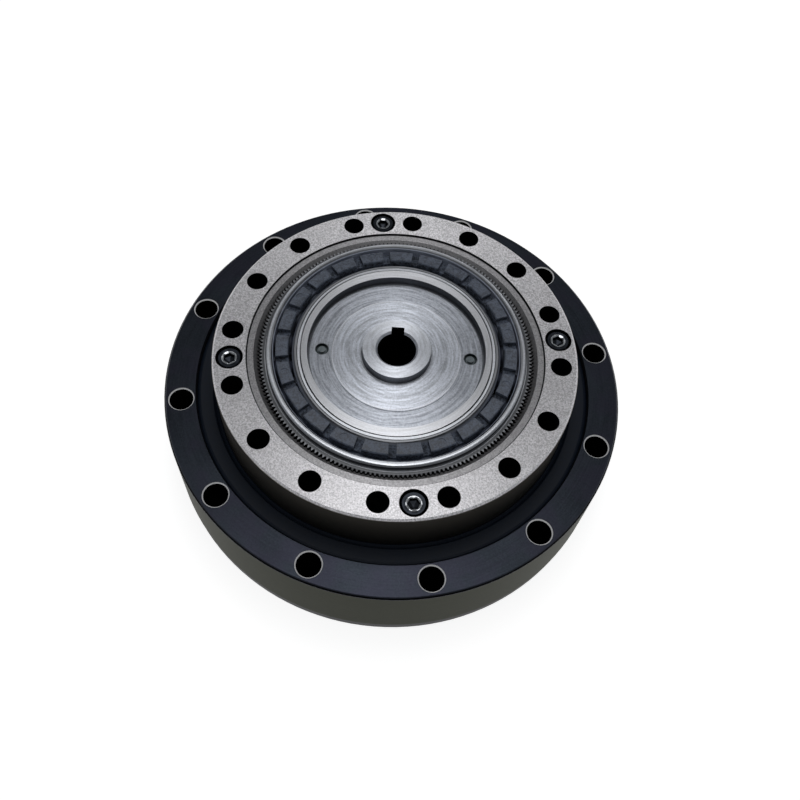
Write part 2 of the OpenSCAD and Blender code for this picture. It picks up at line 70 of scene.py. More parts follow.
def bolt_circle(name, first):
    """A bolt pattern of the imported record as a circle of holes, and the radius of its holes."""
    dims = next(m for m in frame["record"]["mounts"] if m["name"] == name)["dims"]
    return (dims["count"], dims["pcd_mm"] / 2, first), dims["hole_r_mm"]


# Sizes in millimetres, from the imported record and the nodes' boxes. A circle of holes is given as
# the count of holes, its radius and the angle of the first hole.
HOUSING_HOLES, HOUSING_HOLE_R = bolt_circle("housing_bolts", math.radians(15))
OUTPUT_HOLES, OUTPUT_HOLE_R = bolt_circle("output_bolts", 0.0)
SPLINE_SCREWS = (4, OUTPUT_HOLES[1], math.radians(11.25))
REAR_SCREWS = (4, HOUSING_HOLES[1], 0.0)
FLANGE_TOP = node_box_mm("outer_ring")[1][2]
FLANGE_R = node_box_mm("outer_ring")[1][0]
OUTPUT_TOP = node_box_mm("circular_spline")[1][2]
OUTPUT_R = node_box_mm("circular_spline")[1][0]
RACE_TOP = node_box_mm("flex_outer_race")[1][2]
CAGE_TOP = node_box_mm("flex_cage")[1][2]
PLUG_TOP = node_box_mm("wave_plug")[1][2]
SCREW_TOP = node_box_mm("spline_screws")[1][2]
SCREW_END = node_box_mm("spline_screws")[0][2]
REAR_SCREW_TOP = node_box_mm("flexspline_screws")[0][2]
REAR_SCREW_END = node_box_mm("flexspline_screws")[1][2]

# Sizes in millimetres of what the nodes' boxes don't show, as in the part's source
HOLE_BEVEL = 0.35          # bevel at the mouths of the flange's holes
COUNTERBORE_R = 3.15       # round the cap screws
STEP_R = 34.8              # edge of the output face towards the teeth
STEP_Z = OUTPUT_TOP - 0.55
TEETH_R = 32.75            # foot of the circular spline's teeth
RIM_R = 31.4               # foot of the flexible spline's teeth
RIM_BORE_R = 30.62
OUTER_LAND_R = 28.9        # inner edge of the outer race
RACE_LAND_R = 29.92        # middle of the outer race's bright top
INNER_RACE_IN_R = 22.75
LIP_R = 21.0               # inner edge of the plug's lip
HUB_R = 8.0
FLOOR_LINE_R = 15.1        # circle turned in the plug's floor
HUB_OR_LIP_R = 12.0        # anywhere between the hub and the lip
DIMPLES = (2, 17.5, math.radians(3))
DIMPLE_R = 1.6
BORE_R = 4.5
KEYWAY_REACH = 6.0
KEYWAY_HALF_W = 1.53
WAVE = 0.3175              # how far the oval departs from a circle
OVAL_TURN = math.radians(93)

# Colours that several finishes share
BLACK = (0.004, 0.004, 0.004, 1)
# The next two are dark colours painted as shade in gaps and corners, and along dark lines
GAP_SHADE = (0.02, 0.02, 0.022, 1)
DARK_LINE_AND_SHADE = (0.03, 0.032, 0.036, 1)
GREASE_SHADE = (0.42, 0.47, 0.6, 1)
GREASE_LIGHT = (0.72, 0.78, 0.92, 1)

# Camera, floor, lights and sky, in metres
CAMERA_PLACE = (0.003170, -0.110214, 0.202895)
CAMERA_RIGHT = (0.9935, 0.097, 0.0588)
CAMERA_UP = (-0.1133, 0.8276, 0.5497)
CAMERA_SHIFT = (-0.008975, -0.0715)
CAMERA_CLIP = 0.01
SENSOR_W_MM = 36
FLOOR_R = 6.0
FLOOR_DROP = 0.05 * MM     # keeps the floor off the rear face
FLOOR_GLOW = 0.86
STRIP_SIZE, STRIP_PLACE = (0.22, 0.62), (0.0, 0.09, 0.75)
PANEL_SIZE, PANEL_PLACE = (0.4, 0.26), (0.0, 0.18, 0.75)
SKY_GLOW = 0.8             # added at the horizon
SKY_GLOW_END = 0.3         # sine of the height at which that ends

AROUND = 0.25              # turns the brushed sheen to run round the axis


# ---------------------------------------------------------------- shader maths


class Wire:
    """A value in a shader. Sums, products and the like add Math nodes."""

    def __init__(self, paint, socket):
        self.paint = paint
        self.socket = socket

    def __add__(self, other):
        return self.paint.math("ADD", self, other)

    __radd__ = __add__

    def __sub__(self, other):
        return self.paint.math("SUBTRACT", self, other)

    def __rsub__(self, other):
        return self.paint.math("SUBTRACT", other, self)

    def __mul__(self, other):
        return self.paint.math("MULTIPLY", self, other)

    __rmul__ = __mul__

    def __truediv__(self, other):
        return self.paint.math("DIVIDE", self, other)


class Paint:
    """One procedural material on Object coordinates, in millimetres."""

    def __init__(self, name, roughness=0.5, metallic=0.0, brushed=0.0, shine=0.5):
        self.material = bpy.data.materials.new(name)
        self.material.use_nodes = True
        self.nodes = self.material.node_tree.nodes
        self.links = self.material.node_tree.links
        self.bsdf = self.nodes["Principled BSDF"]
        self.bsdf.inputs["Roughness"].default_value = roughness
        self.bsdf.inputs["Metallic"].default_value = metallic
        self.bsdf.inputs["Specular IOR Level"].default_value = shine
        if brushed:
            self.bsdf.inputs["Anisotropic"].default_value = brushed
            self.bsdf.inputs["Anisotropic Rotation"].default_value = AROUND
        coordinates = self.add("ShaderNodeTexCoord")
        parts = self.add("ShaderNodeSeparateXYZ",
                         inputs={0: Wire(self, coordinates.outputs["Object"])})
        self.x, self.y, self.z = [Wire(self, parts.outputs[i]) / MM for i in range(3)]
        self.radius = self.math("SQRT", self.x * self.x + self.y * self.y)
        self.angle = self.math("ARCTAN2", self.y, self.x)
        self.spot = self.point(self.x, self.y, self.z)

    def put(self, socket, value):
        """Links a Wire to a socket, or sets the socket's own value."""
        if isinstance(value, Wire):
            self.links.new(value.socket, socket)
        else:
            socket.default_value = value

    def add(self, kind, settings=None, inputs=None):
        """Adds a node: its settings first, then the values or links of its sockets."""
        node = self.nodes.new(kind)
        for key, value in (settings or {}).items():
            setattr(node, key, value)
        for key, value in (inputs or {}).items():
            self.put(node.inputs[key], value)
        return node

    def math(self, operation, *values):
        node = self.add("ShaderNodeMath", {"operation": operation}, dict(enumerate(values)))
        return Wire(self, node.outputs[0])

    def point(self, x, y, z):
        node = self.add("ShaderNodeCombineXYZ", inputs={0: x, 1: y, 2: z})
        return Wire(self, node.outputs[0])

    def round_point(self, across, along, height=0.0):
        """A place on a turned piece: across the tool marks, then a slow change along them."""
        return self.point(self.radius * across + self.z * height,
                          self.math("COSINE", self.angle) * along,
                          self.math("SINE", self.angle) * along)

    def step(self, value, low, high, to_low=0.0, to_high=1.0):
        """Goes smoothly from to_low, where value is low, to to_high, where it is high."""
        node = self.add("ShaderNodeMapRange", {"interpolation_type": "SMOOTHSTEP"},
                        {"Value": value, "From Min": low, "From Max": high,
                         "To Min": to_low, "To Max": to_high})
        return Wire(self, node.outputs["Result"])

    def above(self, value, edge, soft=0.05):
        """A mask: 1 where value is over edge."""
        return self.step(value, edge - soft, edge + soft)

    def below(self, value, edge, soft=0.05):
        """A mask: 1 where value is under edge."""
        return self.step(value, edge - soft, edge + soft, 1.0, 0.0)

    def near(self, value, middle, half_width, soft=0.05):
        """A mask: 1 where value is within half_width of middle."""
        return self.below(self.math("ABSOLUTE", value - middle), half_width, soft)

    def either(self, first, second):
        """The mask of two masks together."""
        return self.math("MAXIMUM", first, second)

    def noise(self, vector, scale, detail=2.0, roughness=0.5):
        """Noise from 0 to 1 with features of about 1/scale millimetres."""
        node = self.add("ShaderNodeTexNoise", {"noise_dimensions": "3D"},
                        {"Vector": vector, "Scale": scale, "Detail": detail, "Roughness": roughness})
        return Wire(self, node.outputs["Fac"])

    def contrast(self, value, low, high):
        """Stretches the middle of a noise to 0 and 1."""
        return self.step(value, low, high)

    def mix(self, mask, first, second):
        """Colour first where mask is 0 and second where it is 1."""
        node = self.add("ShaderNodeMix", {"data_type": "RGBA"})
        self.put(node.inputs[0], mask)
        self.put(node.inputs[6], first)
        self.put(node.inputs[7], second)
        return Wire(self, node.outputs[2])

    def blend(self, mask, first, second):
        """The same for plain values."""
        return first + (second - first) * mask

    def colour(self, value):
        self.put(self.bsdf.inputs["Base Color"], value)

    def rough(self, value):
        self.put(self.bsdf.inputs["Roughness"], value)

    def metal(self, value):
        self.put(self.bsdf.inputs["Metallic"], value)

    def bump(self, height, depth):
        """Relief of a height from 0 to 1 times depth, in millimetres."""
        node = self.add("ShaderNodeBump", {},
                        {"Height": height, "Strength": 1.0, "Distance": depth * MM})
        self.links.new(node.outputs[0], self.bsdf.inputs["Normal"])

    def to_hole(self, count, circle_r, first):
        """Distance from the axis of the nearest of count holes on a circle."""
        half = math.pi / count
        turned = self.math("WRAP", self.angle - first, half, -half)
        across = self.radius * self.math("COSINE", turned) - circle_r
        along = self.radius * self.math("SINE", turned)
        return self.math("SQRT", across * across + along * along)

    def oval_radius(self):
        """The radius once the oval of the wave generator is taken out."""
        return self.radius - WAVE * self.math("COSINE", (self.angle - OVAL_TURN) * 2)


def rgba(colour, share=1.0):
    """The colour times a share, with its alpha."""
    return (*(min(c * share, 1.0) for c in colour), 1.0)


# ---------------------------------------------------------------- sizes and colours


class FinishSettings(bpy.types.PropertyGroup):
    """Colours of the finishes."""

    flange_colour: FloatVectorProperty(
        name="Black oxide", description="Blackened steel of the outer ring's face",
        subtype="COLOR", size=3, min=0, max=1, default=(0.0275, 0.0325, 0.0415))
    wall_colour: FloatVectorProperty(
        name="Black oxide wall", description="Blackened steel of the outer ring's side",
        subtype="COLOR", size=3, min=0, max=1, default=(0.04, 0.0435, 0.022))
    ring_colour: FloatVectorProperty(
        name="Ring steel", description="Ground steel of the output face",
        subtype="COLOR", size=3, min=0, max=1, default=(0.66, 0.65, 0.67))
    plug_colour: FloatVectorProperty(
        name="Turned steel", description="Turned steel of the wave generator's plug",
        subtype="COLOR", size=3, min=0, max=1, default=(0.47, 0.495, 0.55))
    race_colour: FloatVectorProperty(
        name="Race steel", description="Ground steel of the bearing races",
        subtype="COLOR", size=3, min=0, max=1, default=(0.6, 0.62, 0.66))
    cage_colour: FloatVectorProperty(
        name="Cage plastic", description="Slate-grey moulding of the ball cage",
        subtype="COLOR", size=3, min=0, max=1, default=(0.094, 0.112, 0.15))
    rubber_colour: FloatVectorProperty(
        name="Seal rubber", description="Black rubber of the seal",
        subtype="COLOR", size=3, min=0, max=1, default=(0.0055, 0.0095, 0.018))


class StageSettings(bpy.types.PropertyGroup):
    """Camera and light."""

    lens: FloatProperty(name="Lens", description="Focal length of the camera", default=39.01, min=10,
                        max=200, unit="CAMERA")
    strip_power: FloatProperty(name="Strip light", description="Power of the long light overhead",
                               default=1.15, min=0, unit="POWER")
    panel_power: FloatProperty(name="Panel light", description="Power of the broad light overhead",
                               default=0.42, min=0, unit="POWER")
    sky: FloatProperty(name="Sky", description="Strength of the light from all round", default=0.15,
                       min=0, max=2)


# ---------------------------------------------------------------- finishes


def black_oxide(settings):
    """The outer ring: brushed round on its face, turned on its side, bare at the hole mouths, which are
    painted near white as a highlight, and with painted shade in its holes.
    """
    paint = Paint("black_oxide", brushed=0.4, shine=0.05)
    cloud = paint.noise(paint.spot, 0.07, 3)
    streak = paint.noise(paint.round_point(3.0, 5.0, 4.0), 1.0, 4, 0.6)
    patch = paint.contrast(paint.noise(paint.point(paint.x, paint.y, 7.0), 0.12, 3, 0.6), 0.4, 0.62)
    grain = paint.noise(paint.spot, 2.4, 3, 0.7)
    mottle = paint.contrast(cloud * 0.3 + streak * 0.32 + grain * 0.38, 0.34, 0.66)
    face = paint.mix(mottle, rgba(settings.flange_colour, 0.72), rgba(settings.flange_colour, 1.3))
    violet = (0.036, 0.032, 0.052, 1)
    face = paint.mix(patch * 0.35, face, violet)
    edge = (paint.above(paint.radius, FLANGE_R - 0.32, 0.04)
            * paint.above(paint.z, FLANGE_TOP - 0.45, 0.06))
    face = paint.mix(edge, face, (0.003, 0.003, 0.003, 1))
    wall = paint.mix(streak * 0.5 + grain * 0.5,
                     rgba(settings.wall_colour, 0.5), rgba(settings.wall_colour, 1.55))
    side = paint.below(paint.z, FLANGE_TOP - 0.6) * paint.above(paint.radius, FLANGE_R - 0.1)
    steel = paint.mix(side, face, wall)
    hole = paint.to_hole(*HOUSING_HOLES)
    inside = paint.below(hole, HOUSING_HOLE_R + 0.02, 0.01)
    # Bare steel at the hole mouths, painted near white as a highlight
    bare = (paint.above(hole, HOUSING_HOLE_R + 0.03, 0.01)
            * paint.below(hole, HOUSING_HOLE_R + HOLE_BEVEL - 0.05, 0.04)
            * paint.above(paint.z, FLANGE_TOP - HOLE_BEVEL - 0.02))
    # Painted shade: the walls of the holes are painted black
    steel = paint.mix(inside, steel, BLACK)
    paint.colour(paint.mix(bare, steel, (0.97, 0.97, 0.98, 1)))
    paint.metal((1 - bare) * (1 - side))
    paint.rough(paint.blend(inside, paint.blend(side, 0.3 + streak * 0.12, 0.45), 1.0))
    paint.bump(streak, 0.004)
    return paint.material


def ring_steel(settings):
    """The circular spline: a speckled ground face, a duller step, a side painted dark brown as a
    painted reflection, and painted shade at the step's corner, on the teeth and in the holes.
    """
    paint = Paint("ring_steel", metallic=1.0, brushed=0.75)
    colour = settings.ring_colour
    grain = paint.contrast(paint.noise(paint.spot, 2.9, 3, 0.7), 0.32, 0.68)
    coarse = paint.contrast(paint.noise(paint.spot, 2.7, 3, 0.7), 0.34, 0.66)
    cloud = paint.contrast(paint.noise(paint.spot, 0.15, 3), 0.45, 0.8)
    face = paint.mix(grain, rgba(colour, 0.64), rgba(colour, 1.36))
    face = paint.mix(cloud * 0.3, face, rgba(colour, 0.75))
    lower = paint.below(paint.z, OUTPUT_TOP - 0.3, 0.1)
    floor = lower * paint.below(paint.radius, STEP_R + 0.1)
    # Painted shade on the step's wall and in the corner at its foot
    step_shade = (paint.above(paint.radius, STEP_R - 0.3, 0.08)
              * paint.below(paint.radius, STEP_R + 0.05, 0.02)
              * paint.below(paint.z, OUTPUT_TOP - 0.03, 0.02))
    # Painted shade: the teeth are painted darker, and everything deep below the step near black
    teeth = lower * paint.below(paint.radius, TEETH_R, 0.08)
    depth_shade = paint.below(paint.z, STEP_Z - 1.4, 0.2) * paint.below(paint.radius, STEP_R)
    side = lower * paint.above(paint.radius, OUTPUT_R - 0.1)
    face = paint.mix(floor, face, paint.mix(coarse, rgba(colour, 0.42), rgba(colour, 0.72)))
    face = paint.mix(teeth, face, rgba(colour, 0.58))
    face = paint.mix(paint.either(step_shade, depth_shade), face, GAP_SHADE)
    # The side is painted dark brown, as a painted reflection of the dark seal below it
    brown = (0.1, 0.092, 0.08, 1)
    face = paint.mix(side, face, brown)
    # Painted shade: the holes and counterbores are painted near black
    inside = (paint.below(paint.to_hole(*OUTPUT_HOLES), OUTPUT_HOLE_R + 0.02, 0.01)
              + paint.below(paint.to_hole(*SPLINE_SCREWS), COUNTERBORE_R + 0.02, 0.01))
    dark = inside * paint.below(paint.z, OUTPUT_TOP - 0.05, 0.02)
    paint.colour(paint.mix(dark, face, (0.006, 0.006, 0.007, 1)))
    paint.rough(paint.blend(dark, paint.blend(side, 0.35 + grain * 0.1, 0.3), 1.0))
    paint.bump(grain * (1 - side), 0.012)
    return paint.material


def tool_marks(paint, across=2.6):
    """Fine noise that runs round the axis, as a lathe leaves it."""
    return paint.noise(paint.round_point(across, 3.0, 2.6), 1.0, 4, 0.65)


def turned(paint, colour, fine, low=0.74, high=1.26):
    """Colours steel with concentric tool marks, a slower change and flecks."""
    broad = paint.noise(paint.round_point(0.45, 0.6), 1.0, 3)
    fleck = paint.noise(paint.spot, 2.5, 3, 0.6)
    tone = paint.contrast(fine * 0.45 + broad * 0.3 + fleck * 0.25, 0.32, 0.68)
    return paint.mix(tone, rgba(colour, low), rgba(colour, high))


def spring_steel(settings):
    """The flexible spline: a rim painted dark, partly as grease and partly as painted shade, with a
    painted highlight at its inner edge, and painted shade between its teeth.
    """
    paint = Paint("spring_steel", metallic=1.0, brushed=0.6)
    fine = tool_marks(paint)
    steel = turned(paint, settings.race_colour, fine)
    out = paint.oval_radius()
    # The rim is painted dark, partly as grease and partly as painted shade, with a painted highlight
    # line left at its inner edge
    rim = paint.above(out, RIM_BORE_R - 0.1)
    edge = paint.below(out, RIM_BORE_R + 0.24, 0.05)
    teeth = paint.above(out, RIM_R, 0.04)
    steel = paint.mix(rim, steel, rgba(settings.race_colour, 0.2))
    steel = paint.mix(rim * edge, steel, rgba(settings.race_colour, 0.95))
    # Painted shade on the teeth: darker all round, near black where they mesh and deep down
    long_axis = paint.math("ABSOLUTE", paint.math("COSINE", paint.angle - OVAL_TURN))
    meshed = paint.above(long_axis, 0.92, 0.05)
    steel = paint.mix(teeth, steel, rgba(settings.race_colour, 0.4))
    steel = paint.mix(teeth * meshed * 0.8, steel, GAP_SHADE)
    steel = paint.mix(teeth * paint.below(paint.z, OUTPUT_TOP - 1.0), steel, GAP_SHADE)
    paint.colour(steel)
    paint.rough(0.36 + fine * 0.12)
    paint.bump(fine, 0.006)
    return paint.material


def outer_race_steel(settings):
    """A bright ground top, painted shade off it and down the side with one thin painted highlight line,
    and grease inside.
    """
    paint = Paint("outer_race_steel", metallic=1.0, brushed=0.5)
    fine = tool_marks(paint)
    steel = turned(paint, settings.race_colour, fine)
    out = paint.oval_radius()
    wall = paint.above(out, RIM_BORE_R - 0.2, 0.03) * paint.below(paint.z, RACE_TOP - 0.3, 0.04)
    line = paint.near(paint.z, RACE_TOP - 1.45, 0.1, 0.04)
    inside = paint.either(paint.below(out, OUTER_LAND_R + 0.12, 0.05),
                          paint.below(out, RIM_BORE_R - 0.9, 0.1)
                          * paint.below(paint.z, RACE_TOP - 0.5, 0.1))
    # Painted shade: away from the bright land the race is darkened by half
    land = paint.near(out, RACE_LAND_R, 0.25, 0.08)
    steel = paint.mix(land, paint.mix(0.5, steel, DARK_LINE_AND_SHADE), steel)
    # Painted shade down the side, with one thin painted highlight line
    steel = paint.mix(wall, steel, paint.mix(line, (0.02, 0.021, 0.026, 1),
                                             rgba(settings.race_colour, 0.7)))
    steel = paint.mix(inside, steel, paint.mix(fine, GREASE_SHADE, GREASE_LIGHT))
    paint.colour(steel)
    paint.metal(1 - inside)
    paint.rough(0.24 + fine * 0.12)
    paint.bump(fine, 0.003)
    return paint.material


def inner_race_steel(settings):
    """A light shoulder against the plug, then a dark line, a dull oily bevel, and grease below it."""
    paint = Paint("inner_race_steel", metallic=1.0, brushed=0.4)
    fine = tool_marks(paint)
    steel = turned(paint, settings.race_colour, fine)
    out = paint.oval_radius()
    dull = paint.above(out, INNER_RACE_IN_R + 0.62, 0.05)
    line = paint.near(out, INNER_RACE_IN_R + 0.7, 0.09, 0.04)
    steel = paint.mix(dull, steel, rgba(settings.race_colour, 0.42))
    steel = paint.mix(line, steel, DARK_LINE_AND_SHADE)
    low = paint.below(paint.z, OUTPUT_TOP - 0.9, 0.2)
    bevel = paint.above(out, INNER_RACE_IN_R + 1.45, 0.2)
    steel = paint.mix(bevel, steel, paint.mix(fine, (0.12, 0.135, 0.175, 1), (0.24, 0.265, 0.32, 1)))
    steel = paint.mix(low, steel, paint.mix(fine, GREASE_SHADE, GREASE_LIGHT))
    paint.colour(steel)
    paint.metal(1 - paint.either(low, bevel))
    paint.rough(0.34 + fine * 0.12)
    paint.bump(fine, 0.003)
    return paint.material


def bearing_steel():
    """Ground steel of the crossed roller bearing's inner rings."""
    paint = Paint("bearing_steel", metallic=1.0, brushed=0.6)
    fine = tool_marks(paint)
    paint.colour(turned(paint, (0.45, 0.45, 0.47), fine))
    paint.rough(0.25 + fine * 0.12)
    paint.bump(fine, 0.003)
    return paint.material


def plug_steel(settings):
    """The plug: turned, with its two dimples painted darker, painted shade in its corners, and its bore
    painted black as shade.
    """
    paint = Paint("plug_steel", metallic=1.0, brushed=0.66)
    fine = tool_marks(paint, across=2.2)
    rings = paint.noise(paint.point(paint.radius * 0.9, 0.0, 0.0), 1.0, 4, 0.7)
    off_x, off_y = paint.x + 1.6, paint.y - 1.1
    off_r = paint.math("SQRT", off_x * off_x + off_y * off_y)
    arcs = paint.noise(paint.point(off_r * 1.3, 4.0, 0.0), 1.0, 3, 0.6)
    fleck = paint.noise(paint.spot, 2.3, 3, 0.7)
    tone = paint.contrast(fine * 0.3 + rings * 0.26 + arcs * 0.24 + fleck * 0.2, 0.39, 0.61)
    steel = paint.mix(tone, rgba(settings.plug_colour, 0.58), rgba(settings.plug_colour, 1.5))

    # The floor, lighter within a turned circle whose edge has a painted highlight, then the faces of
    # the hub and the lip
    low = paint.below(paint.z, PLUG_TOP - 0.15, 0.05)
    inner = low * paint.below(paint.radius, FLOOR_LINE_R, 0.08)
    circle = low * paint.near(paint.radius, FLOOR_LINE_R, 0.06, 0.05)
    steel = paint.mix((low - inner) * 0.2, steel, DARK_LINE_AND_SHADE)
    steel = paint.mix(inner * 0.07 + circle * 0.6, steel, (0.95, 0.96, 1.0, 1))
    hub = (1 - low) * paint.below(paint.radius, HUB_OR_LIP_R)
    steel = paint.mix(hub * 0.42, steel, (0.8, 0.82, 0.86, 1))
    lip = paint.above(paint.z, PLUG_TOP - 0.3) * paint.above(paint.radius, HUB_OR_LIP_R)
    steel = paint.mix(lip * 0.6, steel, (0.66, 0.66, 0.67, 1))

    # Painted shade: darker up the walls, in the corner at the hub's foot and at the seam with the inner
    # race
    wall = low * paint.above(paint.radius, LIP_R - 0.7, 0.1)
    hub_wall = (low * paint.near(paint.radius, HUB_R + 0.2, 0.35, 0.1)
                * paint.above(paint.z, PLUG_TOP - 2.3, 0.1))
    corner = low * paint.near(paint.radius, HUB_R + 0.12, 0.14, 0.06)
    shade = paint.either(wall * 0.75 + hub_wall * 0.4, corner * 0.8)
    steel = paint.mix(shade, steel, DARK_LINE_AND_SHADE)
    seam = paint.above(paint.oval_radius(), INNER_RACE_IN_R - 0.2, 0.04)
    steel = paint.mix(seam, steel, DARK_LINE_AND_SHADE)

    # The dimples, painted darker, and the bore and keyway, painted black as shade
    off = paint.to_hole(*DIMPLES)
    steel = paint.mix(paint.below(off, DIMPLE_R, 0.1) * 0.7, steel, (0.1, 0.13, 0.13, 1))
    ring = paint.near(off, DIMPLE_R - 0.28, 0.26, 0.12)
    steel = paint.mix(ring * (0.55 + fleck * 0.5), steel, (0.012, 0.018, 0.019, 1))
    below = paint.below(paint.z, PLUG_TOP - 0.05, 0.02)
    along = paint.x * math.cos(OVAL_TURN) + paint.y * math.sin(OVAL_TURN)
    across = paint.math("ABSOLUTE", paint.x * math.sin(OVAL_TURN) - paint.y * math.cos(OVAL_TURN))
    keyway = (paint.above(along, 0) * paint.below(along, KEYWAY_REACH, 0.01)
              * paint.below(across, KEYWAY_HALF_W, 0.01))
    bore = paint.either(paint.below(paint.radius, BORE_R + 0.02, 0.01), keyway * below)
    paint.colour(paint.mix(bore, steel, BLACK))
    paint.rough(paint.blend(bore, 0.3 + fine * 0.12, 1.0))
    paint.bump(fine, 0.008)
    return paint.material


def plain_metal(name, colour, roughness):
    """Lightly mottled metal for the pieces inside."""
    paint = Paint(name, metallic=1.0)
    grain = paint.noise(paint.spot, 3.0, 2)
    paint.colour(paint.mix(grain, rgba(colour, 0.85), rgba(colour, 1.15)))
    paint.rough(roughness + grain * 0.08)
    return paint.material


def cage_plastic(settings):
    """Slate moulding, mottled, with painted shade down its sides and in its slots."""
    paint = Paint("cage_plastic")
    colour = settings.cage_colour
    cloud = paint.noise(paint.spot, 0.9, 3, 0.65) * 0.5 + paint.noise(paint.spot, 2.3, 3, 0.7) * 0.5
    cloud = paint.contrast(cloud, 0.36, 0.64)
    face = paint.mix(cloud, rgba(colour, 0.58), rgba(colour, 1.5))
    # Painted shade: darker down the sides and in the slots
    low = paint.below(paint.z, CAGE_TOP - 0.5, 0.2)
    slot = paint.mix(cloud, rgba(colour, 0.1), rgba(colour, 1.3))
    paint.colour(paint.mix(low, face, slot))
    paint.rough(paint.blend(low, 0.36 + cloud * 0.15, 0.95))
    paint.bump(cloud, 0.02)
    return paint.material


def seal_rubber(settings):
    """Black rubber, ribbed round and a little uneven."""
    paint = Paint("seal_rubber", shine=0.2)
    cloud = paint.noise(paint.spot, 0.8, 4, 0.6)
    ribs = paint.noise(paint.round_point(2.0, 4.0, 2.0), 1.0, 3)
    paint.colour(paint.mix(cloud, rgba(settings.rubber_colour, 0.7), rgba(settings.rubber_colour, 1.6)))
    paint.rough(0.42 + cloud * 0.2)
    paint.bump(ribs, 0.02)
    return paint.material


def screw_steel(name, circle, top_z):
    """Blackened screw steel, worn bright round the mouth of the socket."""
    paint = Paint(name, metallic=1.0)
    out = paint.to_hole(*circle)
    grain = paint.noise(paint.spot, 3.0, 3)
    mouth = (paint.above(out, 1.2, 0.08) * paint.below(out, 1.72, 0.06)
             * paint.near(paint.z, top_z, 0.5, 0.05))
    ring = paint.noise(paint.point(out * 5.0, paint.x * 0.2, paint.y * 0.2), 1.0, 3)
    steel = paint.mix(ring * 0.6 + grain * 0.4, (0.01, 0.012, 0.016, 1), (0.045, 0.05, 0.06, 1))
    paint.colour(paint.mix(mouth, steel, (0.62, 0.64, 0.67, 1)))
    paint.rough(paint.blend(mouth, 0.3 + grain * 0.12, 0.26))
    return paint.material


def finish_node(node, material):
    """Gives a CAD node its material."""
    mesh = frame["nodes"][node].data
    mesh.materials.clear()
    mesh.materials.append(material)


class GEAR_OT_housing(bpy.types.Operator):
    """Finish what stands still: the outer ring and the flexible spline"""

    bl_idname = "gear.housing"
    bl_label = "Housing"

    def execute(self, context):
        settings = context.scene.gear_finish
        finish_node("outer_ring", black_oxide(settings))
        finish_node("flexspline", spring_steel(settings))
        rubber = plain_metal("ring_rubber", (0.02, 0.02, 0.022), 0.5)
        finish_node("flange_o_ring", rubber)
        finish_node("spline_o_ring", rubber)
        return {"FINISHED"}


class GEAR_OT_output(bpy.types.Operator):
    """Finish the output: the circular spline and the bearing's inner rings"""

    bl_idname = "gear.output"
    bl_label = "Output"

    def execute(self, context):
        settings = context.scene.gear_finish
        finish_node("circular_spline", ring_steel(settings))
        bearing = bearing_steel()
        for node in ("inner_ring_front", "inner_ring_rear"):
            finish_node(node, bearing)
        roller = plain_metal("roller_steel", (0.7, 0.7, 0.72), 0.1)
        for node in ("rollers_rising", "rollers_falling"):
            finish_node(node, roller)
        finish_node("roller_spacers", plain_metal("spacer_plastic", (0.5, 0.46, 0.36), 0.5))
        return {"FINISHED"}


class GEAR_OT_seal(bpy.types.Operator):
    """Finish the seal between the flange and the output"""

    bl_idname = "gear.seal"
    bl_label = "Seal"

    def execute(self, context):
        settings = context.scene.gear_finish
        finish_node("seal_lip", seal_rubber(settings))
        steel = plain_metal("seal_steel", (0.4, 0.4, 0.42), 0.35)
        for node in ("seal_case", "seal_spring"):
            finish_node(node, steel)
        return {"FINISHED"}


class GEAR_OT_wave_bearing(bpy.types.Operator):
    """Finish the wave generator's bearing"""

    bl_idname = "gear.wave_bearing"
    bl_label = "Wave Bearing"

    def execute(self, context):
        settings = context.scene.gear_finish
        finish_node("flex_outer_race", outer_race_steel(settings))
        finish_node("flex_inner_race", inner_race_steel(settings))
        finish_node("flex_cage", cage_plastic(settings))
        # The balls are painted dark grey, as painted shade under the cage
        finish_node("flex_balls", plain_metal("ball_steel", (0.26, 0.28, 0.33), 0.36))
        return {"FINISHED"}


class GEAR_OT_plug(bpy.types.Operator):
    """Finish the keyed plug"""

    bl_idname = "gear.plug"
    bl_label = "Plug"

    def execute(self, context):
        finish_node("wave_plug", plug_steel(context.scene.gear_finish))
        return {"FINISHED"}


# ---------------------------------------------------------------- screws


def spread(vert, scale, drop=0.0):
    """Moves a point away from the Z axis by a factor, and down."""
    vert.co.x *= scale
    vert.co.y *= scale
    vert.co.z -= drop


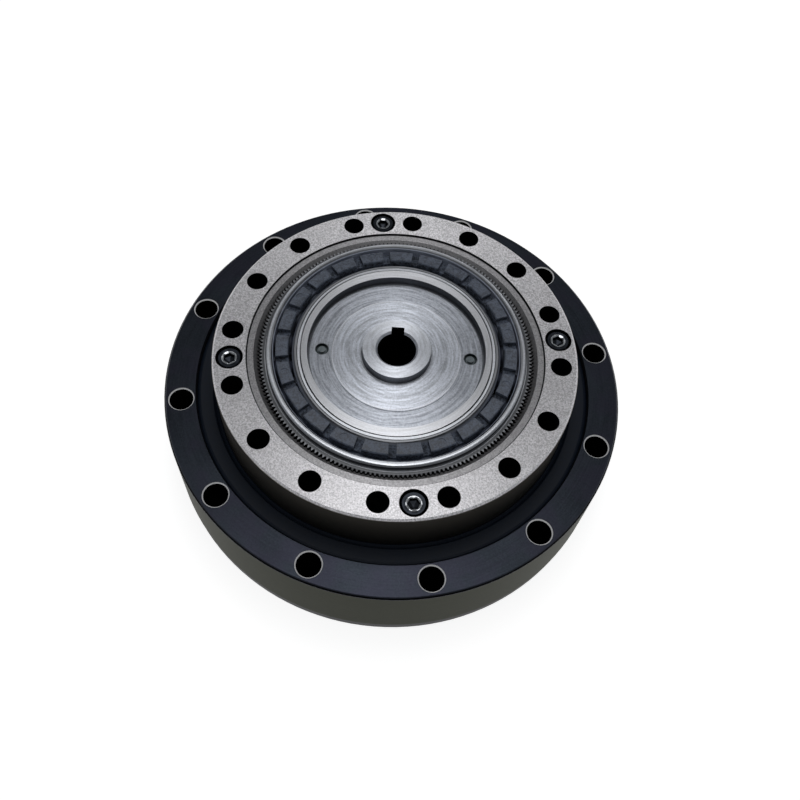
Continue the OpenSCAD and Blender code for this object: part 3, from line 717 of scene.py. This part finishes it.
def socket_screw(head_r, head_h, rim, cone, socket_af, socket_depth, shank_r, length, ridges=0):
    """A hexagon socket screw that stands at the origin, its head's face at z = 0, looking up.

    rim is the rounding of the head's edge, cone is how far the head narrows towards the shank,
    and ridges is the count of knurls round it. Sizes are in millimetres.
    """
    sides = 72
    bevel = 0.16           # at the mouth of the socket
    knurl_depth = 0.09
    tip = 0.3              # bevel at the end of the shank
    flange = 0.05          # least step that is worth a face between head and shank
    face_r = head_r - rim
    bm = bmesh.new()
    bmesh.ops.create_circle(bm, cap_ends=True, segments=sides, radius=face_r)
    top = bm.faces[:][0]
    if top.normal.z < 0:
        bmesh.ops.reverse_faces(bm, faces=[top])

    def push(old, scale, drop):
        """Extrudes the face old, and returns the new one, scaled and lowered."""
        made = bmesh.ops.extrude_discrete_faces(bm, faces=[old])["faces"][0]
        for vert in made.verts:
            spread(vert, scale, drop)
        return made

    mouth_r = socket_af / 2 / math.cos(math.pi / 6) + bevel
    inner = push(top, mouth_r / face_r, 0.0)
    inner = push(inner, 1.0, bevel)
    for vert in inner.verts:
        turn = math.atan2(vert.co.y, vert.co.x) % (math.pi / 3) - math.pi / 6
        reach = socket_af / 2 / math.cos(turn)
        vert.co.x, vert.co.y = vert.co.xy.normalized() * reach
    inner = push(inner, 1.0, socket_depth - bevel)
    inner = push(inner, 0.6, 0.15)
    push(inner, 0.05, 0.3)

    def carry(edges, scale, drop):
        """Extrudes an open rim outwards and down."""
        made = bmesh.ops.extrude_edge_only(bm, edges=edges)["geom"]
        for vert in {v for v in made if isinstance(v, bmesh.types.BMVert)}:
            spread(vert, scale, drop)
        return [e for e in made if isinstance(e, bmesh.types.BMEdge) and e.is_boundary]

    border = carry([e for e in bm.edges if e.is_boundary], head_r / face_r, rim)
    if ridges:
        for vert in {v for e in border for v in e.verts}:
            place = round(math.atan2(vert.co.y, vert.co.x) / (2 * math.pi) * sides)
            if place % (sides // ridges) == 0:
                spread(vert, 1 - knurl_depth / head_r)
    foot_r = head_r - cone
    border = carry(border, foot_r / head_r, head_h - rim)
    if foot_r > shank_r + flange:
        border = carry(border, shank_r / foot_r, 0.0)
    border = carry(border, 1.0, length - head_h - tip)
    border = carry(border, 1 - tip / shank_r, tip)
    bmesh.ops.contextual_create(bm, geom=border)
    bmesh.ops.recalc_face_normals(bm, faces=bm.faces[:])
    return bm


def set_screws(name, replaced, body, circle, matrix, screw, material):
    """Puts a screw at each place on a circle, each tightened to its own angle, as one piece."""
    first_spin, next_spin = 0.35, 1.1
    count, circle_r, first = circle
    # In one fixed order, because extruding makes the faces in an order that can vary between runs
    screw.verts.index_update()
    one = sorted([vert.index for vert in face.verts] for face in screw.faces)
    points, faces = [], []
    for i in range(count):
        turn = first + i * 2 * math.pi / count
        spin = Matrix.Rotation(first_spin + i * next_spin, 4, "Z")
        out = Matrix.Translation((circle_r, 0, 0))
        place = Matrix.Scale(MM, 4) @ Matrix.Rotation(turn, 4, "Z") @ out @ matrix @ spin
        faces += [[len(points) + index for index in face] for face in one]
        points += [place @ vert.co for vert in screw.verts]
    screw.free()
    mesh = bpy.data.meshes.new(name)
    mesh.from_pydata(points, [], faces)
    mesh.polygons.foreach_set("use_smooth", [True] * len(mesh.polygons))
    mesh.set_sharp_from_angle(angle=math.radians(28))
    mesh.materials.append(material)
    piece = bpy.data.objects.new(name, mesh)
    bpy.context.scene.collection.objects.link(piece)
    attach(piece, body)
    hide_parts(replaced)
    return piece


class GEAR_OT_cap_screws(bpy.types.Operator):
    """Model the four cap screws of the output face"""

    bl_idname = "gear.cap_screws"
    bl_label = "Cap Screws"

    def execute(self, context):
        material = screw_steel("cap_screw_steel", SPLINE_SCREWS, SCREW_TOP)
        screw = socket_screw(head_r=2.76, head_h=3.0, rim=0.28, cone=0.0,
                             socket_af=2.49, socket_depth=1.5,
                             shank_r=1.5, length=SCREW_TOP - SCREW_END, ridges=36)
        set_screws("cap_screws", "spline_screws", "output", SPLINE_SCREWS,
                   Matrix.Translation((0, 0, SCREW_TOP)), screw, material)
        return {"FINISHED"}


class GEAR_OT_rear_screws(bpy.types.Operator):
    """Model the countersunk screws of the rear face"""

    bl_idname = "gear.rear_screws"
    bl_label = "Rear Screws"

    def execute(self, context):
        material = screw_steel("rear_screw_steel", REAR_SCREWS, REAR_SCREW_TOP)
        screw = socket_screw(head_r=3.0, head_h=1.5, rim=0.05, cone=1.45,
                             socket_af=1.99, socket_depth=1.0,
                             shank_r=1.5, length=REAR_SCREW_END - REAR_SCREW_TOP)
        set_screws("rear_screws", "flexspline_screws", "housing", REAR_SCREWS,
                   Matrix.Translation((0, 0, REAR_SCREW_TOP)) @ Matrix.Rotation(math.pi, 4, "X"),
                   screw, material)
        return {"FINISHED"}


# ---------------------------------------------------------------- stage


def look(camera, place, right, up):
    """Stands the camera at place, with its own right and up directions."""
    right = Vector(right).normalized()
    up = (Vector(up) - Vector(up).dot(right) * right).normalized()
    back = right.cross(up)
    turn = Matrix((right, up, back)).transposed().to_4x4()
    camera.matrix_world = Matrix.Translation(place) @ turn


def area_light(name, power, size, place):
    """A rectangular light that shines straight down."""
    lamp = bpy.data.lights.new(name, "AREA")
    lamp.shape = "RECTANGLE"
    lamp.energy = power
    lamp.size, lamp.size_y = size
    light = bpy.data.objects.new(name, lamp)
    bpy.context.scene.collection.objects.link(light)
    light.location = place
    below = Vector((place[0], place[1], 0.0))
    light.rotation_euler = (below - Vector(place)).to_track_quat("-Z", "Y").to_euler()


def white_floor():
    """White where the camera or a reflection sees it, but for the shadow, and black under the part as a
    painted shadow.
    """
    paint = Paint("floor", roughness=0.9)
    # Painted shadow: black, with no glow, under the part
    bare = paint.above(paint.radius, FLANGE_R - 1.5, 0.5)
    paint.colour(paint.mix(bare, (0.01, 0.01, 0.01, 1), (0.5, 0.5, 0.5, 1)))
    rays = paint.add("ShaderNodeLightPath")
    seen = paint.either(Wire(paint, rays.outputs["Is Camera Ray"]),
                        paint.either(Wire(paint, rays.outputs["Is Glossy Ray"]),
                                     Wire(paint, rays.outputs["Is Transmission Ray"])))
    glow = paint.add("ShaderNodeEmission", {},
                     {"Color": (1, 1, 1, 1), "Strength": seen * bare * FLOOR_GLOW})
    both = paint.add("ShaderNodeAddShader", {}, {0: Wire(paint, paint.bsdf.outputs[0]),
                                                 1: Wire(paint, glow.outputs[0])})
    paint.links.new(both.outputs[0], paint.nodes["Material Output"].inputs["Surface"])
    return paint.material


def pale_sky(strength):
    """Even light from all round; the camera and reflections also see it pale near the horizon."""
    world = bpy.data.worlds.new("sky")
    world.use_nodes = True
    tree = world.node_tree
    background = tree.nodes["Background"]
    background.inputs["Color"].default_value = (0.94, 0.97, 1, 1)

    def node(kind, settings, inputs):
        made = tree.nodes.new(kind)
        for key, value in settings.items():
            setattr(made, key, value)
        for key, value in inputs.items():
            if isinstance(value, bpy.types.NodeSocket):
                tree.links.new(value, made.inputs[key])
            else:
                made.inputs[key].default_value = value
        return made

    rays = node("ShaderNodeLightPath", {}, {})
    seen = node("ShaderNodeMath", {"operation": "MAXIMUM"},
                {0: rays.outputs["Is Camera Ray"], 1: rays.outputs["Is Glossy Ray"]})
    seen = node("ShaderNodeMath", {"operation": "MAXIMUM"},
                {0: seen.outputs[0], 1: rays.outputs["Is Transmission Ray"]})
    place = node("ShaderNodeTexCoord", {}, {})
    height = node("ShaderNodeSeparateXYZ", {}, {0: place.outputs["Generated"]})
    glow = node("ShaderNodeMapRange", {"interpolation_type": "SMOOTHSTEP"},
                {"Value": height.outputs[2], "From Min": 0.0, "From Max": SKY_GLOW_END,
                 "To Min": SKY_GLOW, "To Max": 0.0})
    share = node("ShaderNodeMath", {"operation": "MULTIPLY"},
                 {0: seen.outputs[0], 1: glow.outputs["Result"]})
    total = node("ShaderNodeMath", {"operation": "ADD"}, {0: share.outputs[0], 1: strength})
    tree.links.new(total.outputs[0], background.inputs["Strength"])
    return world


class GEAR_OT_stage(bpy.types.Operator):
    """Set up the floor, the lights and the camera"""

    bl_idname = "gear.stage"
    bl_label = "Stage"

    def execute(self, context):
        settings = context.scene.gear_stage
        scene = context.scene
        scene.view_settings.view_transform = "Standard"

        sheet = bmesh.new()
        bmesh.ops.create_circle(sheet, cap_ends=True, segments=96, radius=FLOOR_R)
        bmesh.ops.translate(sheet, vec=(0, 0, -FLOOR_DROP), verts=sheet.verts)
        mesh = bpy.data.meshes.new("floor")
        sheet.to_mesh(mesh)
        sheet.free()
        mesh.materials.append(white_floor())
        floor = bpy.data.objects.new("floor", mesh)
        scene.collection.objects.link(floor)

        scene.world = pale_sky(settings.sky)
        area_light("strip", settings.strip_power, STRIP_SIZE, STRIP_PLACE)
        area_light("panel", settings.panel_power, PANEL_SIZE, PANEL_PLACE)

        lens = bpy.data.cameras.new("camera")
        lens.lens = settings.lens
        lens.sensor_width = SENSOR_W_MM
        lens.shift_x, lens.shift_y = CAMERA_SHIFT
        lens.clip_start = CAMERA_CLIP
        camera = bpy.data.objects.new("camera", lens)
        scene.collection.objects.link(camera)
        look(camera, CAMERA_PLACE, CAMERA_RIGHT, CAMERA_UP)
        scene.camera = camera
        return {"FINISHED"}


# ---------------------------------------------------------------- add-on


class GEAR_PT_panel(bpy.types.Panel):
    """Lists the pieces and their settings"""

    bl_idname = "GEAR_PT_panel"
    bl_label = "Gear Unit"
    bl_space_type = "VIEW_3D"
    bl_region_type = "UI"
    bl_category = "Gear Unit"

    def draw(self, context):
        scene = context.scene
        for settings, kind in ((scene.gear_finish, FinishSettings), (scene.gear_stage, StageSettings)):
            for name in kind.__annotations__:
                self.layout.prop(settings, name)
        for step in STEPS:
            self.layout.operator(step.bl_idname)


STEPS = (GEAR_OT_stage, GEAR_OT_housing, GEAR_OT_output, GEAR_OT_seal, GEAR_OT_wave_bearing,
         GEAR_OT_plug, GEAR_OT_cap_screws, GEAR_OT_rear_screws)
CLASSES = (FinishSettings, StageSettings, *STEPS, GEAR_PT_panel)


def register():
    for cls in CLASSES:
        bpy.utils.register_class(cls)
    bpy.types.Scene.gear_finish = PointerProperty(type=FinishSettings)
    bpy.types.Scene.gear_stage = PointerProperty(type=StageSettings)


def unregister():
    del bpy.types.Scene.gear_stage
    del bpy.types.Scene.gear_finish
    for cls in reversed(CLASSES):
        bpy.utils.unregister_class(cls)


def main():
    register()
    for step in STEPS:
        getattr(bpy.ops.gear, step.bl_idname.split(".")[1])()


if __name__ == "__main__":
    main()
